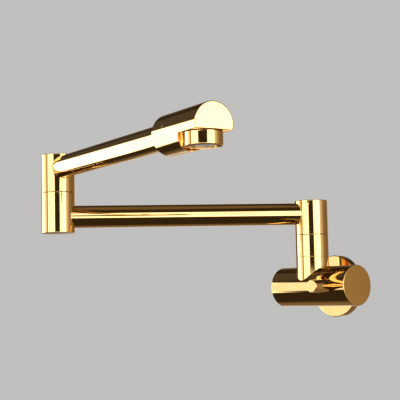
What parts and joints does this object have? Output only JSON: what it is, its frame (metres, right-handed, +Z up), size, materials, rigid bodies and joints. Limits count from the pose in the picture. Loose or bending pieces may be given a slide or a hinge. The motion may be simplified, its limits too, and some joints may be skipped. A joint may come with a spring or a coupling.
{
  "type": "wall mounted pot filler tap",
  "caption": "Polished gold wall-mounted pot filler: cross valve with a turning end handle and pin lever, two swivelling tube arms and a round spout head with a cut-away outlet.",
  "frame": {"origin": "centre of the wall flange's back face, on the wall surface, at the root of the inlet thread", "axes": "+Z up, +Y into the wall along the inlet thread, +X along the valve body towards the handle; the tap stands out towards -Y"},
  "size_m": [0.315, 0.3387, 0.1704],
  "materials": {
    "polished_gold": "mirror-polished gold plate on brass",
    "raw_brass": "bare machined brass",
    "rubber": "black nitrile rubber",
    "ceramic": "lapped white ceramic",
    "washer_plastic": "black bearing plastic",
    "insert_plastic": "moulded grey plastic",
    "steel": "plain stainless steel"
  },
  "bodies": {
    "wall_body": {"wall_flange": "polished_gold", "inlet_nipple": "raw_brass", "valve_body": "polished_gold", "riser_spigot": "polished_gold", "cartridge_seat_seal": "rubber", "cartridge_housing": "raw_brass", "ceramic_disc_fixed": "ceramic"},
    "handle": {"handle_shell": "polished_gold", "lever_pin": "polished_gold", "handle_set_screw": "steel", "cartridge_stem": "raw_brass", "ceramic_disc_moving": "ceramic"},
    "lower_arm": {"lower_arm": "polished_gold", "riser_lock_screw": "steel", "swivel_washers": "washer_plastic", "swivel_o_rings": "rubber"},
    "upper_arm": {"upper_arm": "polished_gold", "elbow_lock_screw": "steel", "spout_head": "polished_gold", "aerator_housing": "polished_gold", "aerator_insert": "insert_plastic"}
  },
  "joints": [
    {"name": "handle_turn", "type": "hinge", "parent": "wall_body", "child": "handle", "pos_m": [0.0401, -0.0365, 0], "axis": [-1, 0, 0], "range_deg": [0, 90]},
    {"name": "lower_arm_swing", "type": "hinge", "parent": "wall_body", "child": "lower_arm", "pos_m": [0, -0.039, 0.0695], "axis": [0, 0, 1], "range_deg": [-57, 123]},
    {"name": "upper_arm_swing", "type": "hinge", "parent": "lower_arm", "child": "upper_arm", "pos_m": [-0.13888, -0.25286, 0.116], "axis": [0, 0, 1], "continuous": true}
  ]
}
